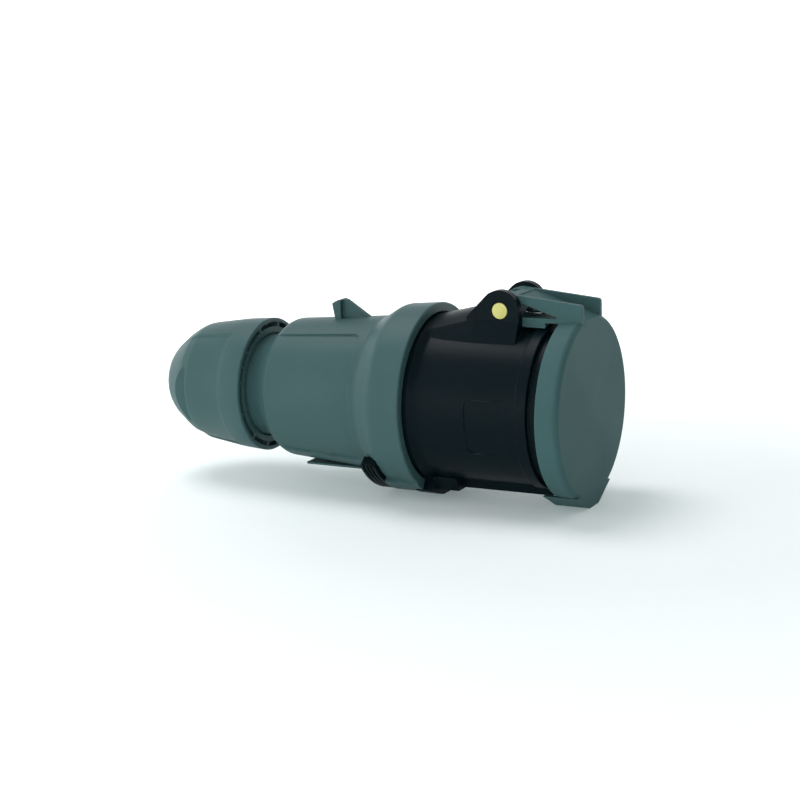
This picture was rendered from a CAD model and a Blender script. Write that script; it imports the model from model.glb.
import math

import bmesh
import bpy
from mathutils import Matrix, Vector


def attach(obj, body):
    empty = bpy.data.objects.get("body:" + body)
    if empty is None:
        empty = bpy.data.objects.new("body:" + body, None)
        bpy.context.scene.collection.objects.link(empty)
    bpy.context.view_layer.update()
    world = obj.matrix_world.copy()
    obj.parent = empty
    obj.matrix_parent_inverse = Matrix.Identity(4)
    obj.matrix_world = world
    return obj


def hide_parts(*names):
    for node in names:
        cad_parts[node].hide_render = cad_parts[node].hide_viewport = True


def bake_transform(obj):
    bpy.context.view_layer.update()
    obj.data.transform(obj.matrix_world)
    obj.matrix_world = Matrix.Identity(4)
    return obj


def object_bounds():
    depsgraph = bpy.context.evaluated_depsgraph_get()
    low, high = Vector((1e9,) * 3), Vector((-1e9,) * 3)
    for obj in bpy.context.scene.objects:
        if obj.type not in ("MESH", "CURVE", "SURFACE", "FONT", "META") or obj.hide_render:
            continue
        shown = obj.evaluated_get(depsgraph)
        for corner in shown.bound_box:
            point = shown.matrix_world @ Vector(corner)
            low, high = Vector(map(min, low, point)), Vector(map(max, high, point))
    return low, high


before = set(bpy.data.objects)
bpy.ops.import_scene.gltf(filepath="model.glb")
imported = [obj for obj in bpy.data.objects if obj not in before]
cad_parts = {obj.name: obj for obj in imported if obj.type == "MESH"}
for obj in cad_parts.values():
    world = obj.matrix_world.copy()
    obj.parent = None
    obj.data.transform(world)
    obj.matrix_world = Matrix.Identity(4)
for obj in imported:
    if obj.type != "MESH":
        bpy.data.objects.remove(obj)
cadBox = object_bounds()
scene = bpy.context.scene
mm = 0.001
hair = 1e-6                    # metres: nearer than this is the same place
white = (1.0, 1.0, 1.0, 1.0)
print("frame loaded:", len(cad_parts), "nodes")


# camera and light, set to the photograph

viewPlan = {
    "azimuth": 27.8,           # degrees round from the near side, towards the lid
    "elevation": 12.0,
    "roll": -1.85,
    "lens": 85.0,
    "distance": 0.8541,
    "target": (-0.0876, 0.0, -0.0031),
    "clip": (0.02, 60.0),
}


def placeCamera(plan):
    turn, lift, roll = (math.radians(plan[k]) for k in ("azimuth", "elevation", "roll"))
    back = Vector((math.sin(turn) * math.cos(lift), -math.cos(turn) * math.cos(lift), math.sin(lift)))
    level = Vector((math.cos(turn), math.sin(turn), 0.0))
    upright = back.cross(level)
    right = math.cos(roll) * level + math.sin(roll) * upright
    up = math.cos(roll) * upright - math.sin(roll) * level
    data = bpy.data.cameras.new("photoCamera")
    data.lens = plan["lens"]
    data.clip_start, data.clip_end = plan["clip"]
    camera = bpy.data.objects.new("photoCamera", data)
    scene.collection.objects.link(camera)
    place = Matrix((right, up, back)).transposed().to_4x4()
    place.translation = Vector(plan["target"]) + back * plan["distance"]
    camera.matrix_world = place
    scene.camera = camera


placeCamera(viewPlan)

lightPlan = {
    "worldColour": (0.95, 0.98, 1.0),
    "worldStrength": 0.5,
    "lamps": {                 # place and aim in metres, size in metres, power in watts
        "overhead": ((-0.8, 0.25, 1.65), (-0.09, 0.0, 0.0), 1.1, 15.5),
        "windowSide": ((-1.2, -1.1, 1.2), (-0.09, 0.0, 0.0), 0.8, 2.5),
        "backEdge": ((-0.3, 1.4, 1.1), (-0.09, 0.0, 0.02), 0.7, 0.8),
    },
}


def aimedLamp(name, place, aim, size, power):
    data = bpy.data.lights.new(name, "AREA")
    data.shape = "DISK"
    data.size = size
    data.energy = power
    lamp = bpy.data.objects.new(name, data)
    scene.collection.objects.link(lamp)
    lamp.location = place
    lamp.rotation_euler = (Vector(aim) - Vector(place)).to_track_quat("-Z", "Y").to_euler()


def paleRoom(plan):
    world = bpy.data.worlds.new("paleRoom")
    scene.world = world
    world.use_nodes = True
    background = world.node_tree.nodes["Background"].inputs
    background["Color"].default_value = (*plan["worldColour"], 1.0)
    background["Strength"].default_value = plan["worldStrength"]


for lampName, lampValues in lightPlan["lamps"].items():
    aimedLamp(lampName, *lampValues)
paleRoom(lightPlan)
scene.view_settings.view_transform = "Standard"
print("camera and light placed")


# what the pieces share while they are modelled

def choose(piece, kind, test):
    # leaves selected only the vertices, edges or faces whose middle and normal pass the test
    bpy.ops.mesh.select_mode(type=kind)
    bpy.ops.mesh.select_all(action="DESELECT")
    mesh = bmesh.from_edit_mesh(piece.data)
    if kind == "VERT":
        found = [v for v in mesh.verts if test(v.co, v.normal)]
    elif kind == "EDGE":
        found = [e for e in mesh.edges if test((e.verts[0].co + e.verts[1].co) / 2, e.verts[0].normal)]
    else:
        found = [g for g in mesh.faces if test(g.calc_center_median(), g.normal)]
    for element in found:
        element.select_set(True)
    mesh.select_flush_mode()
    bmesh.update_edit_mesh(piece.data)


def faceOutward():
    bpy.ops.mesh.select_all(action="SELECT")
    bpy.ops.mesh.normals_make_consistent(inside=False)


def dress(piece, smoothAngle, material):
    # leaves edit mode, smooths all but the edges sharper than the angle and gives the finish
    bpy.ops.object.mode_set(mode="OBJECT")
    bpy.ops.object.shade_smooth_by_angle(angle=math.radians(smoothAngle))
    piece.data.materials.append(material)


def turned(name, corners, steps, cornerSteps=5):
    # a closed section of (x, radius, rounding) in millimetres, spun round the coupler's axis
    points = [Vector((x * mm, 0.0, radius * mm)) for x, radius, rounding in corners]
    bpy.ops.mesh.primitive_plane_add(size=mm, location=points[0])
    piece = bpy.context.active_object
    piece.name = name
    bpy.ops.object.transform_apply(location=True, rotation=False, scale=False)
    bpy.ops.object.mode_set(mode="EDIT")
    bpy.ops.mesh.select_mode(type="VERT")
    bpy.ops.mesh.select_all(action="SELECT")
    bpy.ops.mesh.merge(type="CENTER")
    for here, following in zip(corners, corners[1:]):
        step = ((following[0] - here[0]) * mm, 0.0, (following[1] - here[1]) * mm)
        bpy.ops.mesh.extrude_vertices_move(TRANSFORM_OT_translate={"value": step})
    choose(piece, "VERT", lambda at, normal: min((at - end).length for end in (points[0], points[-1])) < hair)
    bpy.ops.mesh.edge_face_add()
    for point, (x, radius, rounding) in zip(points, corners):
        if rounding:
            choose(piece, "VERT", lambda at, normal: (at - point).length < hair)
            bpy.ops.mesh.bevel(
                offset=rounding * mm, offset_type="OFFSET", segments=cornerSteps, affect="VERTICES"
            )
    bpy.ops.mesh.select_all(action="SELECT")
    bpy.ops.mesh.spin(steps=steps, angle=2 * math.pi, center=(0.0, 0.0, 0.0), axis=(1.0, 0.0, 0.0))
    bpy.ops.mesh.select_all(action="SELECT")
    bpy.ops.mesh.remove_doubles(threshold=3 * hair)
    bpy.ops.mesh.delete_loose(use_verts=False, use_edges=True, use_faces=False)   # what lies on the axis
    faceOutward()
    return piece


def fromTop(at):
    # degrees round from the top towards the near side
    return math.degrees(math.atan2(-at.y, at.z)) % 360


def apart(angle, other):
    # degrees between two directions, the short way round
    return abs((angle - other + 180) % 360 - 180)


# how a finish is written

class Wire:
    # one output of a node, so that shader sums can be written as Python sums
    def __init__(self, finish, socket):
        self.finish = finish
        self.socket = socket

    def maths(self, operation, first, second):
        return self.finish.node("Math", {"operation": operation}, {0: first, 1: second})

    def __add__(self, other):
        return self.maths("ADD", self, other)

    def __sub__(self, other):
        return self.maths("SUBTRACT", self, other)

    def __rsub__(self, other):
        return self.maths("SUBTRACT", other, self)

    def __mul__(self, other):
        return self.maths("MULTIPLY", self, other)

    __radd__ = __add__


class Finish:
    # one material, whose nodes are all made by node()
    def __init__(self, name):
        self.material = bpy.data.materials.new(name)
        self.material.use_nodes = True
        self.tree = self.material.node_tree
        self.tree.nodes.clear()

    def node(self, kind, settings=None, sockets=None, out=0):
        made = self.tree.nodes.new("ShaderNode" + kind)
        for key, value in (settings or {}).items():
            if key == "stops":
                ramp = made.color_ramp.elements
                while len(ramp) < len(value):
                    ramp.new(0.5)
                for element, (place, shade) in zip(ramp, value):
                    element.position = place
                    element.color = (shade, shade, shade, 1.0)
            else:
                setattr(made, key, value)
        for key, value in (sockets or {}).items():
            if isinstance(value, Wire):
                self.tree.links.new(value.socket, made.inputs[key])
            else:
                made.inputs[key].default_value = value
        return Wire(self, made.outputs[out])

    def place(self, scale=(1.0, 1.0, 1.0)):
        here = self.node("TexCoord", out="Object")
        return self.node("Mapping", None, {"Vector": here, "Scale": scale})

    def noise(self, where, scale, detail=3.0, roughness=0.55):
        return self.node("TexNoise", None, {
            "Vector": where, "Scale": scale, "Detail": detail, "Roughness": roughness,
        })

    def blendColours(self, share, first, second):
        return self.node("Mix", {"data_type": "RGBA"}, {0: share, 6: first, 7: second}, out=2)

    def ramp(self, value, stops):
        return self.node("ValToRGB", {"stops": stops}, {"Fac": value})

    def edges(self, radius, sharpness):
        # 1 along an outer or inner edge, 0 on a plain face
        soft = self.node("Bevel", {"samples": 6}, {"Radius": radius})
        true = self.node("NewGeometry", out="Normal")
        same = self.node("VectorMath", {"operation": "DOT_PRODUCT"}, {0: soft, 1: true}, out="Value")
        return self.node("Math", {"operation": "MULTIPLY", "use_clamp": True}, {0: 1.0 - same, 1: sharpness})

    def relief(self, height, depth, strength, edgeRadius, samples=6):
        # a fine bump over a normal that rounds the piece's edges
        rounded = self.node("Bevel", {"samples": samples}, {"Radius": edgeRadius})
        return self.node("Bump", None, {
            "Strength": strength, "Distance": depth, "Height": height, "Normal": rounded,
        })

    def done(self, constants, **wires):
        shader = self.tree.nodes.new("ShaderNodeBsdfPrincipled")
        for key, value in constants.items():
            shader.inputs[key].default_value = value
        for key, value in wires.items():
            self.tree.links.new(value.socket, shader.inputs[key.replace("_", " ")])
        output = self.tree.nodes.new("ShaderNodeOutputMaterial")
        self.tree.links.new(shader.outputs[0], output.inputs[0])
        return self.material


def linear(*screen):
    # a colour of 0 to 255 read off a screen, as the shader's own numbers
    return tuple(((v / 255 + 0.055) / 1.055) ** 2.4 if v > 10 else v / 3294 for v in screen) + (1.0,)


mouldedPlastic = {
    "grainScale": 1900.0,      # eroded mould texture, about half a millimetre
    "grainDepth": 0.000012,
    "grainStrength": 0.55,
    "grainSheen": 0.1,         # how far the grain changes the roughness
    "flowScale": 24.0,         # slow change of tone over the moulding
    "flowStops": ((0.35, 0.0), (0.7, 1.0)),
    "flowSheen": 0.12,
    "speckScale": 665.0,       # pale flecks
    "speckStops": ((0.55, 0.0), (0.8, 0.16)),
    "speckShare": 0.3,
    "edgeRadius": 0.0006,
    "wearRadius": 0.0007,      # rubbed edges
    "wearSharpness": 5.0,
    "wearScale": 160.0,
    "wearStops": ((0.42, 0.0), (0.68, 1.0)),
    "wearSheen": 0.08,
    "ior": 1.5,
}


def mouldedFinish(name, tone, shade, scuffed, roughness, specular, edgeShare, values=mouldedPlastic):
    # glass-filled nylon: fine eroded grain, a slow tone drift and paler rubbed edges
    f = Finish(name)
    where = f.place()
    flow = f.noise(where, values["flowScale"], 4.0)
    speck = f.noise(where, values["speckScale"], 2.0, 0.7)
    grain = f.noise(where, values["grainScale"], 2.0, 0.65)
    patches = f.ramp(f.noise(where, values["wearScale"], 5.0), values["wearStops"])
    rubbed = f.edges(values["wearRadius"], values["wearSharpness"]) * patches
    flecks = f.ramp(speck, values["speckStops"]) * edgeShare * values["speckShare"]
    body = f.blendColours(f.ramp(flow, values["flowStops"]), tone, shade)
    body = f.blendColours(flecks, body, scuffed)
    body = f.blendColours(rubbed * edgeShare, body, scuffed)
    sheen = roughness + (flow - 0.5) * values["flowSheen"] + (grain - 0.5) * values["grainSheen"]
    bump = f.relief(grain, values["grainDepth"], values["grainStrength"], values["edgeRadius"], 8)
    return f.done(
        {"IOR": values["ior"], "Specular IOR Level": specular},
        Base_Color=body, Roughness=sheen - rubbed * values["wearSheen"], Normal=bump,
    )


greyShell = mouldedFinish(
    "greyGreenNylon", linear(61, 90, 91), linear(57, 85, 86), linear(91, 116, 116),
    roughness=0.48, specular=0.17, edgeShare=0.5,
)
lidShell = mouldedFinish(
    "lidNylon", linear(65, 95, 96), linear(61, 90, 91), linear(94, 120, 120),
    roughness=0.56, specular=0.08, edgeShare=0.5,
)
blackShell = mouldedFinish(
    "blackNylon", linear(5, 20, 25), linear(4, 18, 22), linear(48, 64, 67),
    roughness=0.4, specular=0.07, edgeShare=0.8,
)
beadShell = mouldedFinish(
    "beadNylon", linear(24, 40, 44), linear(20, 36, 40), linear(70, 84, 86),
    roughness=0.34, specular=0.3, edgeShare=0.9,
)
carrierShell = mouldedFinish(
    "carrierNylon", linear(20, 30, 33), linear(17, 27, 30), linear(55, 62, 64),
    roughness=0.5, specular=0.14, edgeShare=0.5,
)

turnedMetal = {
    "grooveScale": 2600.0,     # tool marks, drawn out along the wire or pin
    "grooveStretch": (1.0, 0.04, 1.0),
    "grooveDepth": 0.000008,
    "grooveStrength": 0.4,
    "grooveSheen": 0.15,
    "handScale": 210.0,        # marks of handling
    "handStops": ((0.38, 0.0), (0.72, 1.0)),
    "handSheen": 0.25,
    "edgeRadius": 0.0002,
}


def metalFinish(name, colour, dull, roughness, values=turnedMetal):
    # turned or drawn metal: fine tool marks, handling marks and a duller tone in the lows
    f = Finish(name)
    marks = f.noise(f.place(values["grooveStretch"]), values["grooveScale"], 2.0)
    hand = f.noise(f.place(), values["handScale"], 5.0, 0.6)
    body = f.blendColours(f.ramp(hand, values["handStops"]), colour, dull)
    sheen = roughness + (hand - 0.5) * values["handSheen"] + (marks - 0.5) * values["grooveSheen"]
    bump = f.relief(marks, values["grooveDepth"], values["grooveStrength"], values["edgeRadius"])
    return f.done({"Metallic": 1.0}, Base_Color=body, Roughness=sheen, Normal=bump)


brass = metalFinish("turnedBrass", linear(184, 182, 115), linear(164, 157, 91), roughness=0.36)
steel = metalFinish("springSteel", linear(196, 199, 202), linear(150, 153, 156), roughness=0.3)

mouldedRubber = {
    "dustScale": 340.0,
    "dustStops": ((0.48, 0.0), (0.75, 0.5)),
    "skinScale": 2400.0,
    "skinDepth": 0.00001,
    "skinStrength": 0.4,
    "skinSheen": 0.2,
    "edgeRadius": 0.0003,
    "roughness": 0.78,
    "specular": 0.3,
}


def rubberFinish(name, colour, dusty, values=mouldedRubber):
    # moulded seal rubber: matt, a little dust in the grain
    f = Finish(name)
    where = f.place()
    dust = f.ramp(f.noise(where, values["dustScale"], 6.0, 0.65), values["dustStops"])
    skin = f.noise(where, values["skinScale"], 2.0)
    body = f.blendColours(dust, colour, dusty)
    sheen = values["roughness"] + (skin - 0.5) * values["skinSheen"]
    bump = f.relief(skin, values["skinDepth"], values["skinStrength"], values["edgeRadius"])
    return f.done({"Specular IOR Level": values["specular"]}, Base_Color=body, Roughness=sheen, Normal=bump)


rubber = rubberFinish("sealRubber", linear(24, 25, 27), linear(52, 53, 55))

finishOfNode = {
    "front_sleeve": blackShell, "lock_slide": blackShell,
    "housing": greyShell, "gland_nut": greyShell, "lid": lidShell, "pressure_ring": greyShell,
    "contact_carrier": carrierShell, "carrier_back_plate": carrierShell, "gland_cage": carrierShell,
    "hinge_pin": brass, "contact_socket_earth": brass, "contact_socket_line_1": brass,
    "contact_socket_line_2": brass, "contact_socket_line_3": brass, "contact_socket_neutral": brass,
    "lid_spring": steel, "carrier_screws": steel, "terminal_screws": steel,
    "earth_spring": steel, "socket_springs": steel,
    "lid_gasket": rubber, "gland_seal": rubber, "sleeve_seal": rubber,
}
for nodeName, finish in finishOfNode.items():
    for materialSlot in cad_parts[nodeName].material_slots:
        materialSlot.material = finish
print("finishes made and given to", len(finishOfNode), "nodes")


# gland nut, turned from its section and then cut where the hand and the spanner go

nutPlan = {
    "front": -154.3, "end": -203.6,                 # millimetres from the plug face
    "rim": 31.0, "rimEdge": 0.5,
    "bandEnd": -164.6, "band": 30.3,
    "fallStep": 1.7, "falls": (0.15, 0.35),         # behind the band: length of a step, drop in radius
    "shoulder": -186.0, "shoulderRadius": 27.3, "shoulderRound": 1.6,
    "shoulderDrop": (0.6, 0.1),                     # where the rounded corner lies from the shoulder
    "lead": 4.0, "leadRise": 0.65,                  # row of vertices in front of the shoulder
    "dome": ((11.2, 24.2, 3.2), (2.4, 17.4, 2.6), (0.0, 14.4, 1.0)),   # before the end, radius, rounding
    "hole": 11.7, "holeEdge": 0.4, "holeLength": 5.0,
    "throat": 18.2, "throatStart": 10.1, "ringSeat": -183.1,
    "bore": 23.95, "boreEdge": 0.3, "innerRing": 25.2,
    "slotOuter": 29.1, "slotInner": 26.9, "slotDepth": 4.0,
    "ribAngles": (18, 48, 63, 78, 108, 138, 165),   # degrees from the top, the same again half a turn on
    "gripAngle": 97.0, "gripHalf": 67.0, "gripDepth": 1.15,
    "gripInner": 19.5, "firstShare": 0.7, "rowReach": 0.4,
    "gripFades": ((2.6, -3.4, 0.9), (-3.4, -9.5, 0.45)),   # round the shoulder: from, to, share of the depth
    "flatDistance": 22.0, "flatInner": 18.3, "flatLead": 1.0,
    "steps": 144,
    "smoothAngle": 26,
}


def nutSection(plan):
    front, end, band, shoulder = plan["front"], plan["end"], plan["band"], plan["shoulder"]
    dropBack, dropIn = plan["shoulderDrop"]
    falls = [
        (plan["bandEnd"] - k * plan["fallStep"], band - fall, 0.0)
        for k, fall in enumerate(plan["falls"], 1)
    ]
    return [
        (front, plan["slotOuter"], 0.0),
        (front, plan["rim"] - plan["rimEdge"], 0.0),
        (front - plan["rimEdge"], plan["rim"], 0.0),
        (plan["bandEnd"], band, 0.0),
        *falls,
        (shoulder + plan["lead"], plan["shoulderRadius"] + plan["leadRise"], 0.0),
        (shoulder - dropBack, plan["shoulderRadius"] - dropIn, plan["shoulderRound"]),
        *((end + before, radius, rounding) for before, radius, rounding in plan["dome"]),
        (end, plan["hole"], plan["holeEdge"]),
        (end + plan["holeLength"], plan["hole"], 0.0),
        (end + plan["throatStart"], plan["throat"], 0.0),
        (plan["ringSeat"], plan["throat"], 0.0),
        (plan["ringSeat"], plan["bore"], 0.0),
        (front, plan["bore"], plan["boreEdge"]),
        (front, plan["innerRing"], 0.0),
        (front, plan["slotInner"], 0.0),
    ]


def cutSlots(nut, plan):
    # slots in the front edge, with ribs left between them
    halfStep = 180 / plan["steps"]
    ribs = [(rib - plan["gripAngle"] + turn) % 360 for rib in plan["ribAngles"] for turn in (0, 180)]
    choose(nut, "FACE", lambda at, normal: (
        normal.x > 0.9 and plan["slotInner"] * mm < math.hypot(at.y, at.z) < plan["slotOuter"] * mm
        and min(apart(fromTop(at), rib) for rib in ribs) > halfStep
    ))
    bpy.ops.mesh.extrude_region_move(TRANSFORM_OT_translate={"value": (-plan["slotDepth"] * mm, 0.0, 0.0)})


def sinkGrips(nut, plan):
    # two grip panels, open at the rear and flowing up into the band in front
    reach, shoulder = plan["rowReach"], plan["shoulder"]
    rows = [
        (plan["bandEnd"] - plan["fallStep"], plan["firstShare"]),
        (plan["bandEnd"] - 2 * plan["fallStep"], 1.0),
        (shoulder + plan["lead"], 1.0),
    ]
    zones = [(x + reach, x - reach, share) for x, share in rows]
    zones += [(shoulder + start, shoulder + stop, share) for start, stop, share in plan["gripFades"]]
    for start, stop, share in zones:
        choose(nut, "VERT", lambda at, normal: (
            stop * mm < at.x < start * mm and math.hypot(at.y, at.z) > plan["gripInner"] * mm
            and min(apart(fromTop(at), middle) for middle in (0, 180)) < plan["gripHalf"]
        ))
        k = 1.0 - share * plan["gripDepth"] / plan["band"]
        bpy.ops.transform.resize(value=(1.0, k, k), center_override=(start * mm, 0.0, 0.0))


def cutFlats(nut, plan):
    # two flats across the dome
    for side in (1, -1):
        height = side * plan["flatDistance"] * mm
        choose(nut, "FACE", lambda at, normal: (
            at.x < plan["shoulder"] * mm and side * at.z > 0
            and math.hypot(at.y, at.z) > plan["flatInner"] * mm
        ))
        bpy.ops.mesh.bisect(plane_co=(0.0, 0.0, height), plane_no=(0.0, 0.0, 1.0))
        choose(nut, "VERT", lambda at, normal: (
            at.x < (plan["shoulder"] - plan["flatLead"]) * mm and side * at.z > abs(height) - hair
        ))
        bpy.ops.transform.resize(value=(1.0, 1.0, 0.0), center_override=(0.0, 0.0, height))


def glandNut(plan):
    nut = turned("glandNutShell", nutSection(plan), plan["steps"])
    cutSlots(nut, plan)
    sinkGrips(nut, plan)
    cutFlats(nut, plan)
    faceOutward()
    dress(nut, plan["smoothAngle"], greyShell)
    nut.rotation_euler.x = math.radians(plan["gripAngle"])
    bpy.ops.object.transform_apply(location=False, rotation=True, scale=False)
    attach(nut, "nut")
    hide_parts("gland_nut")


glandNut(nutPlan)
print("gland nut made")


# lid spring: one wire wound round the pin, with a leg for the sleeve and a leg for the lid

springPlan = {
    "hinge": (-30.3, 0.0, 42.8),       # millimetres
    "wire": 1.2,
    "coil": 5.3,
    "legPlace": 2.208,                 # how far the two legs stand to either side of the middle
    "turns": 3.572,
    "fixedLeg": (-35.6, 36.9, 42.8),   # x, lower and upper end
    "lidLeg": (-26.0, -16.4, 40.46),   # rear and front end, height
    "nip": 0.2, "nipSteps": 3,         # rounding of a leg's ends, as a share of the wire
    "round": 14,
    "stepsPerTurn": 44,
    "smoothAngle": 50,
}


def wireLeg(plan, place, length, turn):
    # a straight run of the wire with its ends nipped off round
    bpy.ops.mesh.primitive_cylinder_add(
        vertices=plan["round"], radius=plan["wire"] * mm / 2, depth=length * mm, rotation=turn,
        location=Vector(place) * mm,
    )
    leg = bpy.context.active_object
    bpy.ops.object.transform_apply(location=True, rotation=True, scale=False)
    bpy.ops.object.mode_set(mode="EDIT")
    bpy.ops.mesh.select_mode(type="EDGE")
    bpy.ops.mesh.select_all(action="DESELECT")
    bpy.ops.mesh.edges_select_sharp(sharpness=math.radians(60))
    bpy.ops.mesh.bevel(offset=plan["wire"] * mm * plan["nip"], segments=plan["nipSteps"])
    bpy.ops.object.mode_set(mode="OBJECT")
    return leg


def woundWire(plan, hinge):
    bpy.ops.mesh.primitive_circle_add(
        vertices=plan["round"], radius=plan["wire"] * mm / 2,
        location=(hinge.x - plan["coil"] * mm, plan["legPlace"] * mm, hinge.z),
    )
    wound = bpy.context.active_object
    scene.cursor.location = hinge
    bpy.ops.object.origin_set(type="ORIGIN_CURSOR")
    winding = wound.modifiers.new("winding", "SCREW")
    winding.axis = "Y"
    winding.angle = 2 * math.pi * plan["turns"]
    winding.screw_offset = -2 * plan["legPlace"] * mm
    winding.steps = winding.render_steps = round(plan["stepsPerTurn"] * plan["turns"])
    bpy.ops.object.modifier_apply(modifier="winding")
    bpy.ops.object.transform_apply(location=True, rotation=False, scale=False)
    bpy.ops.object.mode_set(mode="EDIT")
    bpy.ops.mesh.select_all(action="SELECT")
    bpy.ops.mesh.fill_holes(sides=plan["round"])
    bpy.ops.object.mode_set(mode="OBJECT")
    return wound


def lidSpring(plan):
    hinge = Vector(plan["hinge"]) * mm
    spring = woundWire(plan, hinge)
    spring.name = "lidSpringWire"
    x, low, high = plan["fixedLeg"]
    fixedLeg = wireLeg(plan, (x, plan["legPlace"], (low + high) / 2), high - low, (0.0, 0.0, 0.0))
    rear, front, z = plan["lidLeg"]
    lidLeg = wireLeg(
        plan, ((rear + front) / 2, -plan["legPlace"], z), front - rear, (0.0, math.radians(90), 0.0)
    )
    bpy.ops.object.select_all(action="DESELECT")
    for part in (fixedLeg, lidLeg, spring):
        part.select_set(True)
    bpy.context.view_layer.objects.active = spring
    bpy.ops.object.join()
    bpy.ops.object.mode_set(mode="EDIT")
    faceOutward()
    dress(spring, plan["smoothAngle"], steel)
    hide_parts("lid_spring")
    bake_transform(spring)


lidSpring(springPlan)
print("lid spring made")


# lid gasket: a flat ring with two sealing lips

gasketPlan = {
    "back": 3.6, "face": 1.3, "lip": 0.3,      # millimetres from the plug face
    "inner": 31.2, "outer": 36.4,
    "lipSlope": 0.5, "lipWidth": 0.9, "lipRound": 0.2,
    "valleyHalf": 0.5, "valleyRound": 0.4,
    "steps": 160,
    "smoothAngle": 35,
}


def lidGasket(plan):
    back, face, lip, inner, outer = (plan[k] for k in ("back", "face", "lip", "inner", "outer"))
    slope, width, middle = plan["lipSlope"], plan["lipWidth"], (inner + outer) / 2
    gasket = turned("lidGasketRing", [
        (back, inner, 0.0),
        (face, inner, plan["lipRound"]),
        (lip, inner + slope, plan["lipRound"]),
        (lip, inner + slope + width, plan["lipRound"]),
        (face, middle - plan["valleyHalf"], plan["valleyRound"]),
        (face, middle + plan["valleyHalf"], plan["valleyRound"]),
        (lip, outer - slope - width, plan["lipRound"]),
        (lip, outer - slope, plan["lipRound"]),
        (face, outer, plan["lipRound"]),
        (back, outer, 0.0),
    ], plan["steps"])
    dress(gasket, plan["smoothAngle"], rubber)
    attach(gasket, "lid")
    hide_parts("lid_gasket")


lidGasket(gasketPlan)
print("lid gasket made")


# bead on the front edge of the sleeve's flange, just inside the collar

beadPlan = {
    "back": -67.5, "front": -66.4,             # millimetres from the plug face
    "inner": 36.0, "outer": 36.95, "round": 0.35,
    "steps": 180,
    "smoothAngle": 35,
}


def flangeBead(plan):
    bead = turned("sleeveFlangeBead", [
        (plan["back"], plan["inner"], 0.0),
        (plan["front"], plan["inner"], plan["round"]),
        (plan["front"], plan["outer"], plan["round"]),
        (plan["back"], plan["outer"], 0.0),
    ], plan["steps"])
    dress(bead, plan["smoothAngle"], beadShell)
    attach(bead, "shell")


flangeBead(beadPlan)
print("flange bead made")


# carrier screws with cross slots

screwPlan = {
    "seat": -81.0, "tip": -69.0,               # millimetres from the plug face
    "shank": 1.6, "tipEdge": (0.6, 0.5),
    "head": 3.0, "headHeight": 2.2, "headEdge": 0.15,
    "crown": 0.5, "crownRound": 0.6, "crownShare": 0.55, "topRound": 0.5,
    "slotWidth": 0.8, "slotReach": 1.7, "slotDepth": 1.2, "slotTaper": 0.75,
    "places": ((0.0, 6.0), (0.0, -6.0)),
    "steps": 48,
    "smoothAngle": 30,
}


def screwBlank(plan):
    seat, top, tip = plan["seat"], plan["seat"] - plan["headHeight"], plan["tip"]
    tipLength, tipDrop = plan["tipEdge"]
    return turned("carrierScrew", [
        (tip, 0.0, 0.0),
        (tip, plan["shank"] - tipDrop, 0.0),
        (tip - tipLength, plan["shank"], 0.0),
        (seat, plan["shank"], 0.0),
        (seat, plan["head"], plan["headEdge"]),
        (top + plan["crown"], plan["head"], plan["crownRound"]),
        (top, plan["head"] * plan["crownShare"], plan["topRound"]),
        (top, 0.0, 0.0),
    ], plan["steps"])


def crossSlot(screw, plan):
    half, reach = plan["slotWidth"] * mm / 2, plan["slotReach"] * mm
    for across in ((0.0, 1.0, 0.0), (0.0, 0.0, 1.0)):
        for side in (1, -1):
            choose(screw, "FACE", lambda at, normal: (
                normal.x < -0.3 and math.hypot(at.y, at.z) < plan["head"] * mm
            ))
            bpy.ops.mesh.bisect(plane_co=Vector(across) * half * side, plane_no=across)
    choose(screw, "FACE", lambda at, normal: (
        normal.x < -0.9 and max(abs(at.y), abs(at.z)) < reach and min(abs(at.y), abs(at.z)) < half
    ))
    bpy.ops.mesh.extrude_region_move(TRANSFORM_OT_translate={"value": (plan["slotDepth"] * mm, 0.0, 0.0)})
    bpy.ops.transform.resize(
        value=(1.0, plan["slotTaper"], plan["slotTaper"]),
        center_override=((plan["seat"] - plan["headHeight"]) * mm, 0.0, 0.0),
    )


def carrierScrews(plan):
    screw = screwBlank(plan)
    crossSlot(screw, plan)
    dress(screw, plan["smoothAngle"], steel)
    pair = [screw]
    while len(pair) < len(plan["places"]):
        another = screw.copy()
        another.data = screw.data.copy()
        scene.collection.objects.link(another)
        pair.append(another)
    for number, (one, (y, z)) in enumerate(zip(pair, plan["places"]), 1):
        one.name = "carrierScrew_%d" % number
        one.data.transform(Matrix.Translation((0.0, y * mm, z * mm)))
        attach(one, "shell")
    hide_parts("carrier_screws")


carrierScrews(screwPlan)
print("carrier screws made")


# floor, curved up into a low wall all round

tentPlan = {
    "radius": 2.6,
    "height": 1.0,
    "curve": 0.45,
    "curveSteps": 10,
    "sides": 96,
    "paper": (0.79, 0.815, 0.815, 1.0),
    "fleck": (0.795, 0.82, 0.82, 1.0),
    "fleckScale": 60.0,
    "fleckStops": ((0.4, 0.0), (0.7, 1.0)),
    "glowNear": (0.145, 0.175, 0.175, 1.0),    # lit from behind, more and more towards the wall
    "glowFrom": 0.12,
    "glowTo": 1.0,
}


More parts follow.
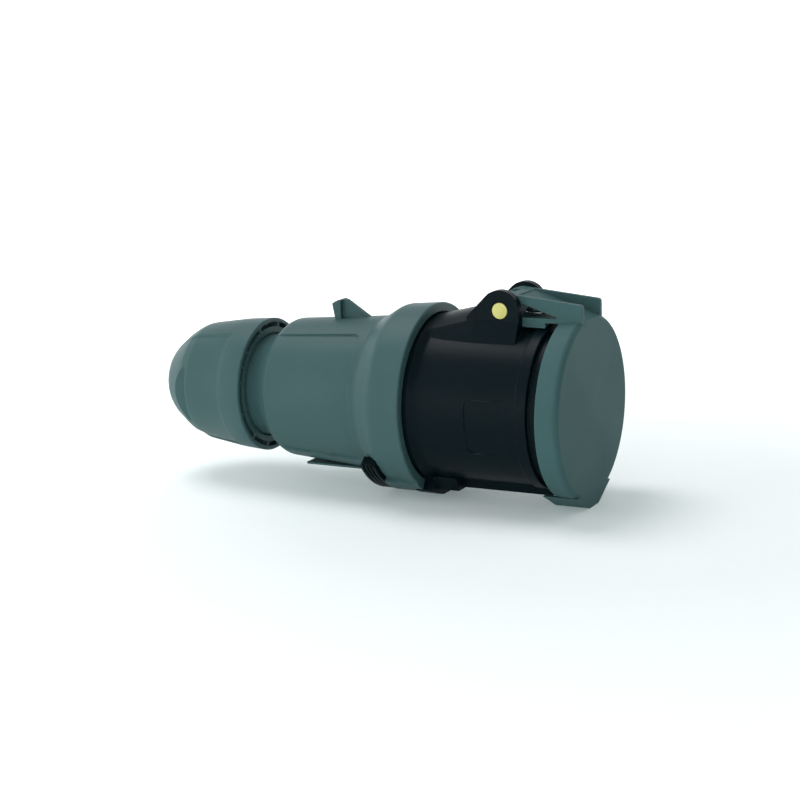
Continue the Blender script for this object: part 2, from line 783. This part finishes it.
def palePaper(plan):
    f = Finish("palePaper")
    speck = f.noise(f.place(), plan["fleckScale"], 2.0)
    tone = f.blendColours(f.ramp(speck, plan["fleckStops"]), plan["paper"], plan["fleck"])
    here = f.node("TexCoord", out="Object")
    flat = f.node("VectorMath", {"operation": "MULTIPLY"}, {0: here, 1: (1.0, 1.0, 0.0)})
    away = f.node("VectorMath", {"operation": "LENGTH"}, {0: flat}, out="Value")
    lift = f.node("MapRange", None, {"Value": away, "From Min": plan["glowFrom"], "From Max": plan["glowTo"]})
    return f.done(
        {"Roughness": 0.85, "Specular IOR Level": 0.2, "Emission Strength": 1.0},
        Base_Color=tone, Emission_Color=f.blendColours(lift, plan["glowNear"], white),
    )


def paperTent(plan, lowest):
    bpy.ops.mesh.primitive_cylinder_add(
        vertices=plan["sides"], radius=plan["radius"], depth=plan["height"],
        location=(0.0, 0.0, lowest + plan["height"] / 2),
    )
    tent = bpy.context.active_object
    tent.name = "paperTent"
    bpy.ops.object.transform_apply(location=True, rotation=False, scale=False)
    bpy.ops.object.mode_set(mode="EDIT")
    choose(tent, "FACE", lambda at, normal: normal.z > 0.9)
    bpy.ops.mesh.delete(type="FACE")
    choose(tent, "EDGE", lambda at, normal: at.z < lowest + mm)
    bpy.ops.mesh.bevel(offset=plan["curve"], segments=plan["curveSteps"], profile=0.5)
    bpy.ops.mesh.select_all(action="SELECT")
    bpy.ops.mesh.normals_make_consistent(inside=True)
    bpy.ops.object.mode_set(mode="OBJECT")
    bpy.ops.object.shade_smooth()
    tent.data.materials.append(palePaper(plan))


paperTent(tentPlan, cadBox[0][2])

cardPlan = {
    "place": (0.62, -0.1, 0.2),
    "size": (1.2, 0.55),
    "tone": (0.02, 0.022, 0.024, 1.0),
    "nap": (0.03, 0.032, 0.034, 1.0),
    "napScale": 900.0,
}


def darkCard(plan):
    # stands beside the lid, unseen by the camera, and keeps the tent's light off its face
    upright = (math.radians(90), 0.0, math.radians(90))
    bpy.ops.mesh.primitive_plane_add(size=1.0, location=plan["place"], rotation=upright)
    card = bpy.context.active_object
    card.name = "darkCard"
    card.scale = (*plan["size"], 1.0)
    bpy.ops.object.transform_apply(location=True, rotation=True, scale=True)
    card.visible_camera = False
    f = Finish("darkFelt")
    tone = f.blendColours(f.noise(f.place(), plan["napScale"], 3.0), plan["tone"], plan["nap"])
    card.data.materials.append(f.done({"Roughness": 0.95, "Specular IOR Level": 0.1}, Base_Color=tone))


darkCard(cardPlan)
print("floor laid")
